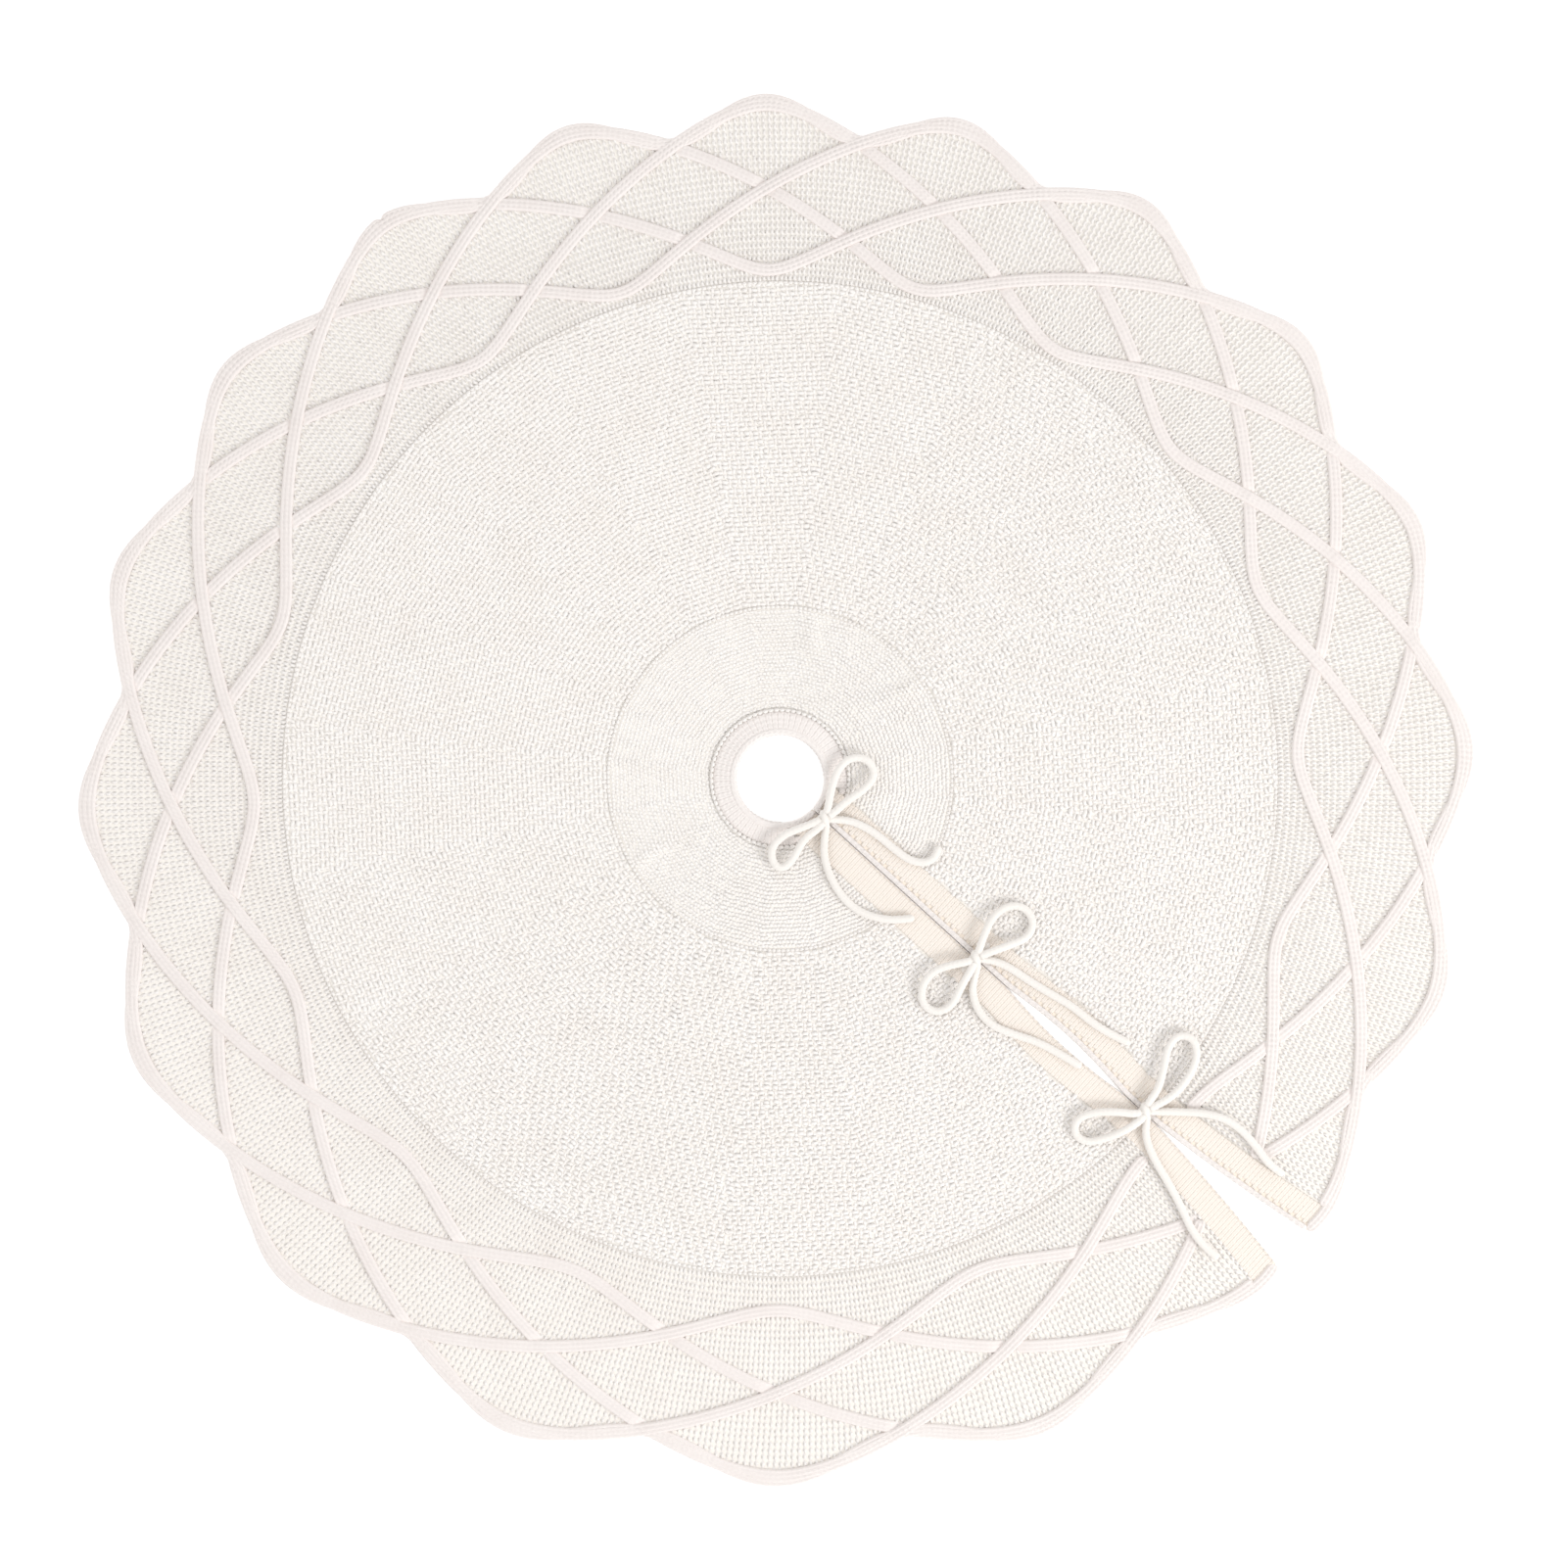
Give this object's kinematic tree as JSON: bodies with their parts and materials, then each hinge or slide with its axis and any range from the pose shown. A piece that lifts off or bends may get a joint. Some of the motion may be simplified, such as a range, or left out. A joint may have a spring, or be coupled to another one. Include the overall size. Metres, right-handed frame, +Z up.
{
  "type": "tree skirt",
  "caption": "Round knitted tree skirt with a ribbed neck hole, a moss-stitch panel, a scalloped cable-lattice border and a slit closed by tied bows.",
  "frame": {"origin": "centre of the neck hole, on the resting plane under the cloth", "axes": "+Z up out of the cloth, -Y along the slit from the neck hole to the hem, X along the storage fold"},
  "size_m": [1.2218, 1.2242, 0.0171],
  "materials": {
    "cream_knit": "matte knitted yarn",
    "cream_cable": "matte raised stockinette",
    "cream_rib": "matte ribbed yarn",
    "linking_thread": "matte thread",
    "tie_cord": "matte knitted cord"
  },
  "bodies": {
    "back_half": {"neck_collar_back": "cream_rib", "collar_seam_back": "linking_thread", "yoke_back": "cream_knit", "yoke_seam_back": "linking_thread", "main_panel_back": "cream_knit", "border_seam_back": "linking_thread", "border_back": "cream_cable"},
    "front_half": {"neck_collar_front_left": "cream_rib", "neck_collar_front_right": "cream_rib", "collar_seam_front_left": "linking_thread", "collar_seam_front_right": "linking_thread", "yoke_front_left": "cream_knit", "yoke_front_right": "cream_knit", "yoke_seam_front_left": "linking_thread", "yoke_seam_front_right": "linking_thread", "main_panel_front_left": "cream_knit", "main_panel_front_right": "cream_knit", "border_seam_front_left": "linking_thread", "border_seam_front_right": "linking_thread", "border_front_left": "cream_cable", "border_front_right": "cream_cable", "slit_band_left": "cream_rib", "slit_band_right": "cream_rib", "slit_edge_roll_left": "cream_cable", "slit_edge_roll_right": "cream_cable", "bow_1_knot": "tie_cord", "bow_2_knot": "tie_cord", "bow_3_knot": "tie_cord", "bow_1_left_root": "tie_cord", "bow_1_right_root": "tie_cord", "bow_2_left_root": "tie_cord", "bow_2_right_root": "tie_cord", "bow_3_left_root": "tie_cord", "bow_3_right_root": "tie_cord", "bow_1_left_loop": "tie_cord", "bow_1_left_tail": "tie_cord", "bow_1_right_loop": "tie_cord", "bow_1_right_tail": "tie_cord", "bow_2_left_loop": "tie_cord", "bow_2_left_tail": "tie_cord", "bow_2_right_loop": "tie_cord", "bow_2_right_tail": "tie_cord", "bow_3_left_loop": "tie_cord", "bow_3_left_tail": "tie_cord", "bow_3_right_loop": "tie_cord", "bow_3_right_tail": "tie_cord"}
  },
  "joints": [
    {"name": "storage_fold", "type": "hinge", "parent": "back_half", "child": "front_half", "pos_m": [0, 0, 0.009], "axis": [-1, 0, 0], "range_deg": [0, 165]}
  ]
}
